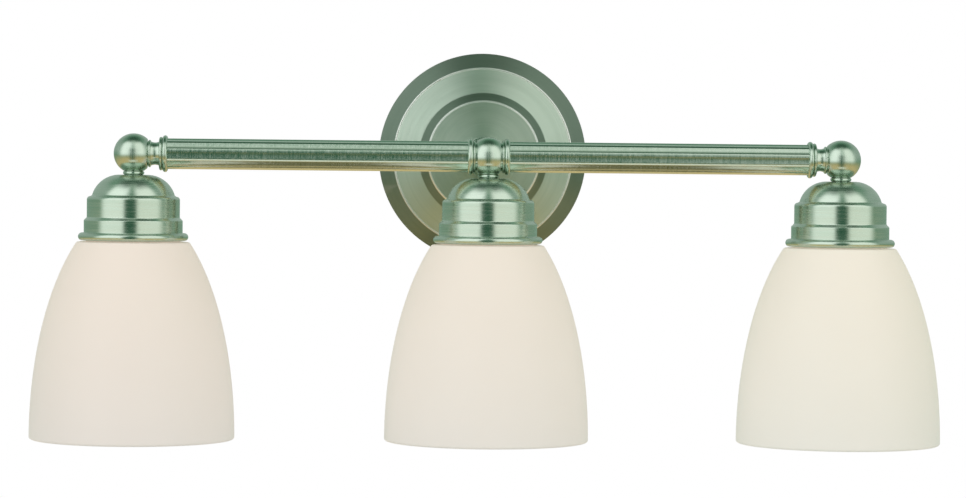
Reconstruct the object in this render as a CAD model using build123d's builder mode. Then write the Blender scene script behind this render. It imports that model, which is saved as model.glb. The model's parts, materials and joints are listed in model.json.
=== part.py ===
from build123d import *
import os
from math import asin, cos, degrees, radians, sin, sqrt

# Vanity light bar with three hanging glass shades, in millimetres.
# The origin is the point of the wall on the canopy's axis. +Y goes into the wall and -Y into the
# room, +X is to the right of a person facing the wall, and +Z is up.

# ---- layout ----
light_spacing = 220.0       # from one light's axis to the next
bar_reach = 114.3           # from the wall to the axis of the bar
thread_gap = 0.05           # between a thread and the bore it screws into
slip_gap = 0.2              # between a pipe or stud and the hole it passes through
cut_reach = 40.0            # length of a cut that must run out through a ball's far side
sheet = 1.0                 # wall of the spun canopy and fitter cups

# ---- threaded pipe ----
pipe_r = 4.8
pipe_wall = 1.4
nut_flats = 14.0            # across the flats of a pipe locknut
nut_height = 3.0

# ---- ball knuckles ----
ball_r = 12.4
ball_wall = 4.4             # from the ball's surface to its round cavity
seat_flat_r = 6.2           # radius of the flats that neighbours seat on
pipe_setback = 0.2          # from a pipe's end to the mouth of its bore in the cavity
bead_sink = 3.4             # how far inside the ball's outline the bead ring starts
bead_length = 1.6
bead_root_r = 7.7
bead_r = 8.5
neck_length = 5.2
neck_r = 7.5
neck_waist = 0.6            # how much the neck's middle is drawn in
ring_sink = 4.0             # how far inside the ball's outline the centre ball's rings start
ring_length = 1.3
ring_r = 10.2
groove_width = 1.2
groove_depth = 1.2

# ---- bar tubes and their collars ----
tube_r = 9.5
tube_bore_r = 7.8
flute_count = 10
flute_r = 8.0
flute_depth = 0.5
flute_turn = 4.0            # degrees that the front flute looks down
flange_rise = 1.9           # how far a collar's flange stands out from the tube
end_flange_length = 3.1
end_step_length = 2.1
end_step_drop = 1.0         # how much smaller the step is than the flange
centre_flange_length = 3.4
spigot_length = 8.0
collar_thread = 6.0         # how far a pipe screws in past a collar's flange

# ---- canopy ----
canopy_r = 67.8
canopy_lip = 1.6
canopy_crease_inset = 10.0  # from the rim in to the bright crease
canopy_crease_depth = 10.2
canopy_band_length = 16.0   # width of the broad band inside the crease
canopy_band_rise = 6.4
canopy_step_length = 5.6
canopy_depth = 25.4

# ---- arm ----
arm_r = 8.0
arm_foot_r = 13.0
arm_foot_lip = 1.8          # straight edge of the foot, on the canopy
arm_foot_height = 5.5
arm_foot_flare = 1.0        # how much wider than the tube the foot's top is
arm_ring_r = 9.6
arm_ring_back = 6.6         # from the tube's end back to the start of its ring
arm_ring_slope = 1.1
arm_ring_length = 2.2
pipe_inside_canopy = 7.4    # from the canopy's front face back to the end of the arm's pipe
ring_terminal = 0.8
tooth_washer = 1.0

# ---- wall strap ----
strap_length = 111.0
strap_width = 19.0
strap_sheet = 1.6
box_screw_reach = 43.05     # from the middle to a slot's middle
box_screw_r = 2.25
box_slot_length = 12.0
stud_reach = 27.0
stud_r = 2.0
stud_nut_flats = 7.5
stud_nut_height = 3.2
cap_nut_r = 5.2
cap_nut_height = 7.5
cap_nut_engage = 4.5        # how far the stud goes into its cap nut
ground_reach = -13.0
ground_head_r = 4.0
ground_head_height = 2.6
ground_head_round = 0.65
ground_tail = 2.7           # how far the ground lead's straight ends stand off nut and screw
ground_tab_width = 3.6
ground_tab_bend = 3.6       # bend radii of the ground lead
ground_screw_bend = 1.8

# ---- fitter cup ----
seat_height = 2.5
seat_ring_r = 6.6
cup_step = 1.8              # from the lower cylinder in to the upper one
dome_r = 17.45
dome_sweep = 74.6           # degrees of the dome's arc
shoulder_r = 2.1
shoulder_drop = 2.7         # from the dome's edge down to the centre of the shoulder's curve
shoulder_ledge = 1.08       # from the dome's edge out to the centre of the shoulder's curve
rim_rise = 3.5              # how far the rolled rim stands out from the lower cylinder
cup_step_top = 26.5         # these four are depths below the top of the dome
cup_ledge = 28.5
cup_rim_top = 36.0
cup_height = 40.8

# ---- glass shade ----
shade_r = 63.5
shade_height = 135.2
shade_curve = 146.0         # upright half axis of the bell's ellipse
glass_wall = 3.0
glass_lip_bevel = 0.9
glass_plate_bevel = 1.0
neck_play = 0.6             # between the glass neck and the fitter cup
shoulder_play = 0.8         # between the fitter's rim and the glass shoulder below it
plate_hole_play = 1.2
shade_ring_height = 5.0
shade_ring_wall = 5.2
shade_ring_play = 0.9       # between the shade ring and the glass neck around it

# ---- lampholder ----
skirt_r = 19.75
holder_r = 17.5
holder_flange_lip = 4.25    # how far the flange stands out from the skirt
holder_flange_height = 2.0
holder_wall = 2.5
skirt_length = 15.2         # below the flange
holder_rise = 9.8           # above the flange
holder_chamfer = 1.5
shell_wall = 0.6
shell_lip_r = 8.0           # hole in the shell's inner end
shell_inset = 2.0
contact_r = 4.0
contact_height = 0.6
terminal_r = 2.2
terminal_reach = 8.5
terminal_height = 3.0
drop_pipe_tail = 5.0        # how far a fitter's pipe goes down past its locknut

# ---- bulb ----
bulb_gap = 0.3              # between the bulb's tip and the lampholder's contact
bulb_length = 108.0
bulb_r = 30.0
bulb_neck_r = 12.6
bulb_shoulder = 22.5        # from the middle of the bulb's ball up to the curve's handles
bulb_wall = 1.0
cap_r = 13.0
cap_play = 0.4              # between the bulb's cap and the screw shell
cap_length = 23.0
cap_wall = 0.5
cap_hold = 5.0              # how far the glass neck goes up into the cap
lip_step = 1.0
neck_straight = 3.0
insulator_height = 3.2
insulator_rise = 1.0        # how much wider than the tip the insulator's end is
tip_r = 4.8
tip_height = 1.0
tip_round = 0.5
thread_pitch = 3.6
thread_depth = 0.7
thread_turns = 4

# ---- leads ----
lead_gap = 0.5              # between neighbouring leads in the pipe, six to a ring
lead_play = 0.2             # between the leads and the pipe around them
lead_stub = 1.8             # how far a lead stands up from its terminal
connector_r = 5.6
connector_top_r = 4.0
connector_length = 20.0
connector_skirt = 6.7       # straight part of the connector, at its mouth
connector_bore = 15.0
connector_start = 12.0      # from the canopy's axis to a connector's mouth
connector_mouth_r = 3.6
lead_in_connector = 8.0

# ---- worked-out places ----
light_x = {"left": -light_spacing, "centre": 0.0, "right": light_spacing}
inward = {"left": 1, "right": -1}
pipe_bore_r = pipe_r - pipe_wall
lead_r = (pipe_bore_r - lead_play - lead_gap) / 3
lead_circle_r = pipe_bore_r - lead_r - lead_play
ball_flat = sqrt(ball_r**2 - seat_flat_r**2)
cavity_r = ball_r - ball_wall
pipe_start = sqrt(cavity_r**2 - (pipe_r + thread_gap) ** 2) + pipe_setback
end_face = ball_r - bead_sink + bead_length + neck_length
centre_face = ball_r - ring_sink + ring_length
end_tube_start = end_face + end_step_length + end_flange_length
centre_tube_start = centre_face + centre_flange_length
flange_r = tube_r + flange_rise
shade_ring_r = skirt_r + thread_gap + shade_ring_wall
glass_neck_r = shade_ring_r + shade_ring_play + glass_wall
cup_r = glass_neck_r + neck_play + sheet
shoulder_centre_r = cup_r - cup_step - shoulder_r
dome_flat_r = shoulder_centre_r - shoulder_ledge - dome_r * sin(radians(dome_sweep))
cup_top = -ball_flat - seat_height
ledge = cup_top - cup_ledge
cup_bottom = cup_top - cup_height
mouth = ledge - shade_height
shell_r = cap_r + cap_play
holder_flange_r = skirt_r + holder_flange_lip
holder_top = ledge + holder_flange_height + holder_rise
holder_mouth = ledge - skirt_length
contact_face = holder_top - holder_wall - contact_height
tip_top = contact_face - bulb_gap
cap_mouth = tip_top - tip_height - insulator_height - cap_length
arm_end = bar_reach - ball_flat
side_lead_x = lead_circle_r * cos(radians(30))
side_lead_z = lead_circle_r * sin(radians(30))
ball_bend = pipe_start - lead_r / 2
lead_bend_y = -(canopy_depth - pipe_inside_canopy) + pipe_start


# ---- helpers ----
def hanging(x):
    """Plane through one light's axis: across is +X, and up is +Z."""
    return Plane(origin=(x, -bar_reach, 0), x_dir=(1, 0, 0), z_dir=(0, -1, 0))


def sideways(x, towards):
    """Plane through the bar's axis at a ball: across is +Z, and up runs along the bar."""
    return Plane(origin=(x, -bar_reach, 0), x_dir=(0, 0, 1), z_dir=(0, towards, 0))


def outward(x=0.0):
    """Plane at the wall: across is +X, and up comes out into the room."""
    return Plane(origin=(x, 0, 0), x_dir=(1, 0, 0), z_dir=(0, 0, -1))


def spin(plane, section, mode=Mode.ADD):
    """Turn a section about its plane's upright axis, in the part being built."""
    revolve(section, axis=Axis(plane.origin, plane.y_dir), mode=mode)


def turned(plane, *points, mode=Mode.ADD):
    """Turn a closed outline of straight lines, given as radius and height."""
    with BuildSketch(plane) as section:
        with BuildLine():
            Polyline(*points, close=True)
        make_face()
    spin(plane, section.sketch, mode)


def tube(plane, inside, outside, low, high, mode=Mode.ADD):
    """Turn a plain sleeve, or a plain disc where the inside radius is 0."""
    turned(plane, (inside, low), (outside, low), (outside, high), (inside, high), mode=mode)


def beaded_ring(plane, inside, outside, low, high):
    """Turn a ring whose outside is rounded."""
    waist = outside - (high - low) / 2
    with BuildSketch(plane) as section:
        with BuildLine():
            Polyline((waist, low), (inside, low), (inside, high), (waist, high))
            ThreePointArc((waist, high), (outside, (low + high) / 2), (waist, low))
        make_face()
    spin(plane, section.sketch)


def hex_nut(plane, flats, bore, low, high):
    """Six-sided nut on a plane's upright axis, with its bore."""
    seat = Plane(origin=plane.origin + plane.y_dir * low, x_dir=plane.x_dir, z_dir=plane.y_dir)
    with BuildSketch(seat) as section:
        RegularPolygon(flats / 2, 6, major_radius=False)
        Circle(bore, mode=Mode.SUBTRACT)
    extrude(section.sketch, amount=high - low)


def lead(points, radii):
    """One insulated lead: straight runs joined by tangent arcs."""
    with BuildLine() as route:
        FilletPolyline(*points, radius=radii)
    start = Plane(origin=route.line @ 0, z_dir=route.line % 0)
    with BuildSketch(start) as section:
        Circle(lead_r)
    sweep(section.sketch, path=route.line)


def write_step(piece, name):
    """Label a finished piece and write its STEP file."""
    piece.part.label = name
    export_step(piece.part, f"parts/{name}.step")


os.makedirs("parts", exist_ok=True)

# ---- canopy: spun sheet, open at the back, with holes for the arm's pipe and the two studs ----
crease_r = canopy_r - canopy_crease_inset
band_end_r = crease_r - canopy_band_length
band_end_depth = canopy_crease_depth + canopy_band_rise
disc_r = band_end_r - canopy_step_length
with BuildPart() as canopy:
    with BuildSketch(outward()):
        with BuildLine():
            Polyline(
                (canopy_r, 0),
                (canopy_r, canopy_lip),
                (crease_r, canopy_crease_depth),
                (band_end_r, band_end_depth),
                (disc_r, canopy_depth),
                (0, canopy_depth),
            )
            offset(amount=sheet, side=Side.LEFT)
        make_face()
    revolve(axis=Axis.Y)
    with BuildSketch(Plane.XZ):
        Circle(pipe_r + slip_gap)
        with Locations((-stud_reach, 0), (stud_reach, 0)):
            Circle(stud_r + slip_gap)
    extrude(amount=canopy_depth, mode=Mode.SUBTRACT)
write_step(canopy, "canopy")

# ---- wall strap: flat bar, slotted for the wall box's screws ----
with BuildPart() as mounting_strap:
    with BuildSketch(Plane.XZ):
        SlotOverall(strap_length, strap_width)
        Circle(pipe_r + slip_gap, mode=Mode.SUBTRACT)
        with Locations((-box_screw_reach, 0), (box_screw_reach, 0)):
            SlotOverall(box_slot_length, 2 * box_screw_r, mode=Mode.SUBTRACT)
        with Locations((-stud_reach, 0), (stud_reach, 0), (ground_reach, 0)):
            Circle(stud_r + thread_gap, mode=Mode.SUBTRACT)
    extrude(amount=strap_sheet)
write_step(mounting_strap, "mounting_strap")

# ---- studs, their nuts on the strap, and the cap nuts that hold the canopy ----
with BuildPart() as canopy_studs:
    for side in (-1, 1):
        tube(outward(side * stud_reach), 0, stud_r, 0, canopy_depth + cap_nut_engage)
write_step(canopy_studs, "canopy_studs")

with BuildPart() as stud_nuts:
    for side in (-1, 1):
        hex_nut(
            outward(side * stud_reach),
            stud_nut_flats,
            stud_r + thread_gap,
            strap_sheet,
            strap_sheet + stud_nut_height,
        )
write_step(stud_nuts, "stud_nuts")

with BuildPart() as canopy_cap_nuts:
    for side in (-1, 1):
        plane = outward(side * stud_reach)
        spring = canopy_depth + cap_nut_height - cap_nut_r
        with BuildSketch(plane) as cap_section:
            with BuildLine():
                Polyline((0, spring + cap_nut_r), (0, canopy_depth), (cap_nut_r, canopy_depth))
                Line((cap_nut_r, canopy_depth), (cap_nut_r, spring))
                CenterArc((0, spring), cap_nut_r, 0, 90)
            make_face()
        spin(plane, cap_section.sketch)
        bore_end = canopy_depth + cap_nut_engage + slip_gap
        tube(plane, 0, stud_r + thread_gap, canopy_depth, bore_end, mode=Mode.SUBTRACT)
write_step(canopy_cap_nuts, "canopy_cap_nuts")

# ---- ground: screw in the strap, ring on the arm's pipe, and the lead between them ----
with BuildPart() as ground_screw:
    tube(outward(ground_reach), 0, stud_r, 0, strap_sheet)
    tube(
        outward(ground_reach),
        0,
        ground_head_r,
        strap_sheet,
        strap_sheet + ground_head_height,
    )
    fillet(ground_screw.edges().group_by(Axis.Y)[0], radius=ground_head_round)
write_step(ground_screw, "ground_screw")

canopy_back = canopy_depth - sheet
ring_face = canopy_back - ring_terminal
tail_x = nut_flats / 2 + ground_tail
tab_end = tail_x + pipe_r
with BuildPart() as ground_ring:
    with BuildSketch(Plane.XZ.offset(ring_face)):
        Circle(nut_flats / 2 + lead_r)
        with Locations((-tab_end / 2, 0)):
            Rectangle(tab_end, ground_tab_width)
        Circle(pipe_r + slip_gap, mode=Mode.SUBTRACT)
    extrude(amount=ring_terminal)
write_step(ground_ring, "ground_ring")

ground_lead_y = -ring_face + lead_r
ground_turn_x = ground_reach - ground_head_r - ground_tail
screw_side_y = -(strap_sheet + ground_head_height / 2)
with BuildPart() as ground_lead:
    lead(
        [
            (-tail_x, ground_lead_y, 0),
            (ground_turn_x, ground_lead_y, 0),
            (ground_turn_x, screw_side_y, 0),
            (ground_reach - ground_head_r, screw_side_y, 0),
        ],
        [ground_tab_bend, ground_screw_bend],
    )
write_step(ground_lead, "ground_lead")

# ---- arm: cover tube from the canopy to the centre ball, the pipe inside it, and its locknut ----
arm_ring_start = arm_end - arm_ring_back
with BuildPart() as arm_tube:
    turned(
        outward(),
        (pipe_r + slip_gap, canopy_depth),
        (arm_foot_r, canopy_depth),
        (arm_foot_r, canopy_depth + arm_foot_lip),
        (arm_r + arm_foot_flare, canopy_depth + arm_foot_height),
        (arm_r, canopy_depth + arm_foot_height),
        (arm_r, arm_ring_start),
        (arm_ring_r, arm_ring_start + arm_ring_slope),
        (arm_ring_r, arm_ring_start + arm_ring_slope + arm_ring_length),
        (seat_flat_r, arm_end - seat_height),
        (seat_flat_r, arm_end),
        (pipe_r + slip_gap, arm_end),
    )
write_step(arm_tube, "arm_tube")

with BuildPart() as arm_nipple:
    pipe_back = canopy_depth - pipe_inside_canopy
    tube(outward(), pipe_bore_r, pipe_r, pipe_back, bar_reach - pipe_start)
write_step(arm_nipple, "arm_nipple")

with BuildPart() as arm_tooth_washer:
    washer_face = ring_face - tooth_washer
    tube(outward(), pipe_r + slip_gap, nut_flats / 2, washer_face, ring_face)
write_step(arm_tooth_washer, "arm_tooth_washer")

with BuildPart() as arm_locknut:
    hex_nut(outward(), nut_flats, pipe_r + thread_gap, washer_face - nut_height, washer_face)
write_step(arm_locknut, "arm_locknut")

# ---- ball knuckles ----
thread_r = pipe_r + thread_gap


def ball_arc(low, high):
    """Arc of the ball's outline about the bar's axis, from one distance along it to another."""
    start = degrees(asin(low / ball_r))
    return CenterArc((0, 0), ball_r, start, arc_size=degrees(asin(high / ball_r)) - start)


def drill_ball(x, ways):
    """Hollow a ball, then cut a flat seat and a threaded bore in each of the given directions."""
    with BuildSketch(sideways(x, 1)) as cavity:
        with BuildLine():
            CenterArc((0, 0), cavity_r, -90, arc_size=180)
            Line((0, cavity_r), (0, -cavity_r))
        make_face()
    spin(sideways(x, 1), cavity.sketch, mode=Mode.SUBTRACT)
    for way in ways:
        tube(way, 0, cut_reach, ball_flat, cut_reach, mode=Mode.SUBTRACT)
        tube(way, 0, thread_r, 0, cut_reach, mode=Mode.SUBTRACT)


def below(x):
    """Plane through one ball's centre: across is +X, and up points down at the light."""
    return Plane(origin=(x, -bar_reach, 0), x_dir=(1, 0, 0), z_dir=(0, 1, 0))


with BuildPart() as centre_knuckle:
    along = sideways(0, 1)
    ring_start = ball_r - ring_sink
    ring_root_r = ring_r - ring_length / 2
    groove_r = ring_r - groove_depth
    with BuildSketch(along) as section:
        with BuildLine():
            cheek = ball_arc(0, ring_start - groove_width)
            Polyline(
                cheek @ 1,
                (groove_r, ring_start - groove_width),
                (groove_r, ring_start),
                (ring_root_r, ring_start),
            )
            ThreePointArc(
                (ring_root_r, ring_start),
                (ring_r, (ring_start + centre_face) / 2),
                (ring_root_r, centre_face),
            )
            Line((ring_root_r, centre_face), (0, centre_face))
            mirror(about=Plane.XZ)
            Line((0, centre_face), (0, -centre_face))
        make_face()
    spin(along, section.sketch)
    back = Plane(origin=(0, -bar_reach, 0), x_dir=(1, 0, 0), z_dir=(0, 0, 1))
    drill_ball(0, [below(0), back])
    for towards in (-1, 1):
        tube(sideways(0, towards), 0, thread_r, 0, cut_reach, mode=Mode.SUBTRACT)
write_step(centre_knuckle, "centre_knuckle")

for name, towards in inward.items():
    x = light_x[name]
    along = sideways(x, towards)
    bead_start = ball_r - bead_sink
    neck_start = bead_start + bead_length
    with BuildPart() as end_knuckle:
        with BuildSketch(along) as section:
            with BuildLine():
                cheek = ball_arc(-ball_r, bead_start - groove_width / 2)
                Polyline(
                    cheek @ 1,
                    (bead_root_r, bead_start - groove_width / 2),
                    (bead_root_r, bead_start),
                )
                ThreePointArc(
                    (bead_root_r, bead_start),
                    (bead_r, (bead_start + neck_start) / 2),
                    (bead_root_r, neck_start),
                )
                Line((bead_root_r, neck_start), (neck_r, neck_start))
                ThreePointArc(
                    (neck_r, neck_start),
                    (neck_r - neck_waist, (neck_start + end_face) / 2),
                    (neck_r, end_face),
                )
                Polyline((neck_r, end_face), (0, end_face), cheek @ 0)
            make_face()
        spin(along, section.sketch)
        drill_ball(x, [below(x)])
        tube(along, 0, thread_r, 0, cut_reach, mode=Mode.SUBTRACT)
    write_step(end_knuckle, f"end_knuckle_{name}")

# ---- collars: a flange that hides the tube's end, and a spigot inside the tube ----
spigot_r = tube_bore_r - thread_gap
with BuildPart() as end_collars:
    for name, towards in inward.items():
        along = sideways(light_x[name], towards)
        step_end = end_face + end_step_length
        tube(along, thread_r, spigot_r, end_face, end_tube_start + spigot_length)
        beaded_ring(along, thread_r, flange_r - end_step_drop, end_face, step_end)
        beaded_ring(along, thread_r, flange_r, step_end, end_tube_start)
write_step(end_collars, "end_collars")

with BuildPart() as centre_collars:
    for towards in (-1, 1):
        along = sideways(0, towards)
        tube(along, thread_r, spigot_r, centre_face, centre_tube_start + spigot_length)
        beaded_ring(along, thread_r, flange_r, centre_face, centre_tube_start)
write_step(centre_collars, "centre_collars")

# ---- bar tubes: drawn with ten shallow flutes ----
flute_centre_r = tube_r + flute_r - flute_depth
tube_length = light_spacing - end_tube_start - centre_tube_start
for name, towards in inward.items():
    tube_plane = Plane(
        origin=(-towards * centre_tube_start, -bar_reach, 0),
        x_dir=(0, -1, 0),
        z_dir=(-towards, 0, 0),
    )
    front_flute = towards * flute_turn
    with BuildPart() as bar_tube:
        with BuildSketch(tube_plane):
            Circle(tube_r)
            Circle(tube_bore_r, mode=Mode.SUBTRACT)
            with PolarLocations(flute_centre_r, flute_count, start_angle=front_flute):
                Circle(flute_r, mode=Mode.SUBTRACT)
        extrude(amount=tube_length)
    write_step(bar_tube, f"bar_tube_{name}")

# ---- threaded pipes: four join the collars to the balls, three carry the fitters ----
with BuildPart() as tube_nipples:
    for name, towards in inward.items():
        end_side = sideways(light_x[name], towards)
        centre_side = sideways(0, -towards)
        tube(end_side, pipe_bore_r, pipe_r, pipe_start, end_tube_start + collar_thread)
        tube(centre_side, pipe_bore_r, pipe_r, pipe_start, centre_tube_start + collar_thread)
write_step(tube_nipples, "tube_nipples")

nut_bottom = cup_top - sheet - nut_height
pipe_bottom = nut_bottom - drop_pipe_tail
with BuildPart() as drop_nipples:
    for x in light_x.values():
        tube(hanging(x), pipe_bore_r, pipe_r, pipe_bottom, -pipe_start)
write_step(drop_nipples, "drop_nipples")

with BuildPart() as fitter_locknuts:
    for x in light_x.values():
        hex_nut(hanging(x), nut_flats, thread_r, nut_bottom, nut_bottom + nut_height)
write_step(fitter_locknuts, "fitter_locknuts")

with BuildPart() as seat_collars:
    for x in light_x.values():
        beaded_ring(hanging(x), pipe_r + slip_gap, seat_ring_r, cup_top, cup_top + seat_height)
write_step(seat_collars, "seat_collars")


# ---- fitter cups: spun dome, round shoulder, step and rolled rim ----
def cup_section(plane, inset):
    """Half outline of the cup's outside, or of its inside at an inset of one sheet."""
    dome_centre = cup_top - dome_r
    shoulder_z = dome_centre + dome_r * cos(radians(dome_sweep)) - shoulder_drop
    upper_r = cup_r - cup_step - inset
    with BuildSketch(plane) as section:
        with BuildLine():
            dome = CenterArc(
                (dome_flat_r, dome_centre), dome_r - inset, 90, arc_size=-dome_sweep
            )
            Polyline((0, cup_bottom), (0, cup_top - inset), dome @ 0)
            shoulder = CenterArc(
                (shoulder_centre_r, shoulder_z), shoulder_r - inset, 90, arc_size=-90
            )
            Line(dome @ 1, shoulder @ 0)
            if inset:
                Polyline(
                    shoulder @ 1,
                    (upper_r, ledge),
                    (cup_r - inset, ledge),
                    (cup_r - inset, cup_bottom),
                    (0, cup_bottom),
                )
            else:
                Polyline(
                    shoulder @ 1,
                    (upper_r, cup_top - cup_step_top),
                    (cup_r, cup_top - cup_step_top - cup_step),
                    (cup_r, cup_bottom),
                    (0, cup_bottom),
                )
        make_face()
    return section.sketch


for name, x in light_x.items():
    plane = hanging(x)
    with BuildPart() as fitter_cup:
        spin(plane, cup_section(plane, 0))
        beaded_ring(plane, 0, cup_r + rim_rise, cup_bottom, cup_top - cup_rim_top)
        spin(plane, cup_section(plane, sheet), mode=Mode.SUBTRACT)
        tube(plane, 0, pipe_r + slip_gap, cup_bottom, cup_top, mode=Mode.SUBTRACT)
    write_step(fitter_cup, f"fitter_cup_{name}")


# ---- glass shades: bell of half an ellipse, with a neck and a flat plate in the fitter ----
def bell_section(plane, inset):
    """Half outline of the shade's outside, or of its inside at an inset of one wall."""
    shoulder = cup_bottom - shoulder_play - inset
    rise = asin((shoulder - mouth) / (shade_curve - inset))
    with BuildSketch(plane) as section:
        with BuildLine():
            bell = EllipticalCenterArc(
                (0, mouth), shade_r - inset, shade_curve - inset, 0, arc_size=degrees(rise)
            )
            Polyline(
                bell @ 0,
                (0, mouth),
                (0, ledge - inset),
                (glass_neck_r - inset, ledge - inset),
                (glass_neck_r - inset, shoulder),
                bell @ 1,
            )
        make_face()
    return section.sketch


for name, x in light_x.items():
    plane = hanging(x)
    with BuildPart() as shade_glass:
        spin(plane, bell_section(plane, 0))
        spin(plane, bell_section(plane, glass_wall), mode=Mode.SUBTRACT)
        tube(plane, 0, skirt_r + plate_hole_play, mouth, ledge, mode=Mode.SUBTRACT)
        chamfer(shade_glass.edges().group_by(Axis.Z)[0], length=glass_lip_bevel)
        plate_edges = shade_glass.edges().group_by(Axis.Z)[-1]
        chamfer(plate_edges.sort_by(SortBy.RADIUS)[-1], length=glass_plate_bevel)
    write_step(shade_glass, f"shade_glass_{name}")

# ---- lampholders: cap, threaded body, screw shell, contact, terminal screws and shade ring ----
def terminal_spots(name):
    """Planes through the line and the neutral terminal of one light, on the side their leads come."""
    middle = hanging(light_x[name])
    across = Vector(0, -1, 0) if name == "centre" else Vector(-inward[name], 0, 0)
    return [
        Plane(middle.origin + across * side * terminal_reach, middle.x_dir, middle.z_dir)
        for side in (1, -1)
    ]


cap_top = nut_bottom
for name, x in light_x.items():
    plane = hanging(x)
    with BuildPart() as lampholder_cap:
        tube(plane, thread_r, holder_r, holder_top, cap_top)
        hollow_r = holder_r - holder_wall
        tube(plane, 0, hollow_r, holder_top, cap_top - holder_wall, mode=Mode.SUBTRACT)
        top_edges = lampholder_cap.edges().group_by(Axis.Z)[-1]
        chamfer(top_edges.sort_by(SortBy.RADIUS)[-1], length=holder_chamfer)
    write_step(lampholder_cap, f"lampholder_cap_{name}")

    bore_r = shell_r + shell_wall + thread_gap
    bore_top = holder_top - holder_wall
    with BuildPart() as lampholder_body:
        tube(plane, 0, skirt_r, holder_mouth, ledge)
        tube(plane, 0, holder_flange_r, ledge, ledge + holder_flange_height)
        tube(plane, 0, holder_r, ledge, holder_top)
        tube(plane, 0, bore_r, holder_mouth, bore_top, mode=Mode.SUBTRACT)
        for spot in terminal_spots(name):
            tube(spot, 0, terminal_r / 2 + thread_gap, bore_top, holder_top, mode=Mode.SUBTRACT)
    write_step(lampholder_body, f"lampholder_body_{name}")

    with BuildPart() as screw_shell:
        tube(plane, shell_r, shell_r + shell_wall, holder_mouth + shell_inset, bore_top)
        tube(plane, shell_lip_r, shell_r, bore_top - shell_wall, bore_top)
    write_step(screw_shell, f"screw_shell_{name}")

    ring_bore = skirt_r + thread_gap
    ring_top = ledge - glass_wall
    with BuildPart() as shade_ring:
        tube(plane, ring_bore, shade_ring_r, ring_top - shade_ring_height, ring_top)
    write_step(shade_ring, f"shade_ring_{name}")

with BuildPart() as terminal_screws:
    for name in light_x:
        for spot in terminal_spots(name):
            tube(spot, 0, terminal_r / 2, holder_top - holder_wall, holder_top)
            tube(spot, 0, terminal_r, holder_top, holder_top + terminal_height)
write_step(terminal_screws, "terminal_screws")

with BuildPart() as centre_contacts:
    for x in light_x.values():
        tube(hanging(x), 0, contact_r, contact_face, contact_face + contact_height)
write_step(centre_contacts, "centre_contacts")

# ---- bulbs: glass, screw cap, insulator and tip ----
def bulb_section(plane, inset):
    """Half outline of the bulb's outside, or of its inside at an inset of one wall."""
    top = cap_mouth + cap_hold - inset
    ball = tip_top - bulb_length + bulb_r
    outside = bulb_r - inset
    with BuildSketch(plane) as section:
        with BuildLine():
            CenterArc((0, ball), outside, -90, arc_size=90)
            Bezier(
                (outside, ball),
                (outside, ball + bulb_shoulder),
                (bulb_neck_r - inset, ball + bulb_shoulder),
                (bulb_neck_r - inset, cap_mouth - neck_straight),
            )
            Polyline(
                (bulb_neck_r - inset, cap_mouth - neck_straight),
                (bulb_neck_r - inset, cap_mouth - inset),
                (bulb_neck_r - lip_step - inset, cap_mouth - inset),
                (bulb_neck_r - lip_step - inset, top),
                (0, top),
                (0, ball - outside),
            )
        make_face()
    return section.sketch


for name, x in light_x.items():
    plane = hanging(x)
    with BuildPart() as bulb_tip:
        tube(plane, 0, tip_r, tip_top - tip_height, tip_top)
        fillet(bulb_tip.edges().group_by(Axis.Z)[-1], radius=tip_round)
    write_step(bulb_tip, f"bulb_tip_{name}")

    insulator_top = tip_top - tip_height
    cap_high = insulator_top - insulator_height
    with BuildPart() as bulb_insulator:
        turned(
            plane,
            (0, cap_high),
            (cap_r - thread_depth - cap_wall, cap_high),
            (tip_r + insulator_rise, insulator_top),
            (0, insulator_top),
        )
    write_step(bulb_insulator, f"bulb_insulator_{name}")

    with BuildPart() as bulb_cap:
        tube(plane, cap_r - thread_depth - cap_wall, cap_r - thread_depth, cap_mouth, cap_high)
        for turn in range(thread_turns):
            low = cap_mouth + (turn + 1) * thread_pitch
            crest = (cap_r - thread_depth - cap_wall / 2, cap_r, low, low + 2 * thread_depth)
            beaded_ring(plane, *crest)
    write_step(bulb_cap, f"bulb_cap_{name}")

    with BuildPart() as bulb_glass:
        spin(plane, bulb_section(plane, 0))
        spin(plane, bulb_section(plane, bulb_wall), mode=Mode.SUBTRACT)
    write_step(bulb_glass, f"bulb_glass_{name}")

# ---- leads: six run from the lampholders through the bar and the arm into the canopy ----
def lead_route(name, upward):
    """Points and bend radii of one lead. The two leads of a light bend about one centre."""
    terminal = terminal_spots(name)[0 if upward > 0 else 1].origin
    centre = name == "centre"
    offset = lead_circle_r if centre else side_lead_z
    away = Vector(0, -1, 0) if centre else Vector(-inward[name], 0, 0)
    axis = Vector(light_x[name], -bar_reach, 0) + away * offset * upward
    level = Vector(0, 0, offset * upward)
    arm_x = 0.0 if centre else -inward[name] * side_lead_x
    spread = Vector(0, 0, holder_top + terminal_height + lead_stub)
    pipe_mouth = Vector(0, 0, pipe_bottom - lead_r)
    flat = Vector(terminal.X, terminal.Y, 0)
    points = [
        flat + Vector(0, 0, holder_top + terminal_height),
        flat + spread,
        axis + pipe_mouth,
        axis + level,
    ]
    bend = ball_bend + offset * upward
    radii = [lead_r, lead_r, bend]
    if not centre:
        points.append(Vector(arm_x, -bar_reach, 0) + level)
        radii.append(pipe_start - side_lead_x)
    points.append(Vector(arm_x, lead_bend_y, 0) + level)
    points.append(Vector(arm_x, lead_bend_y, upward * (connector_start + lead_in_connector)))
    radii.append(pipe_start)
    return points, radii


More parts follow.
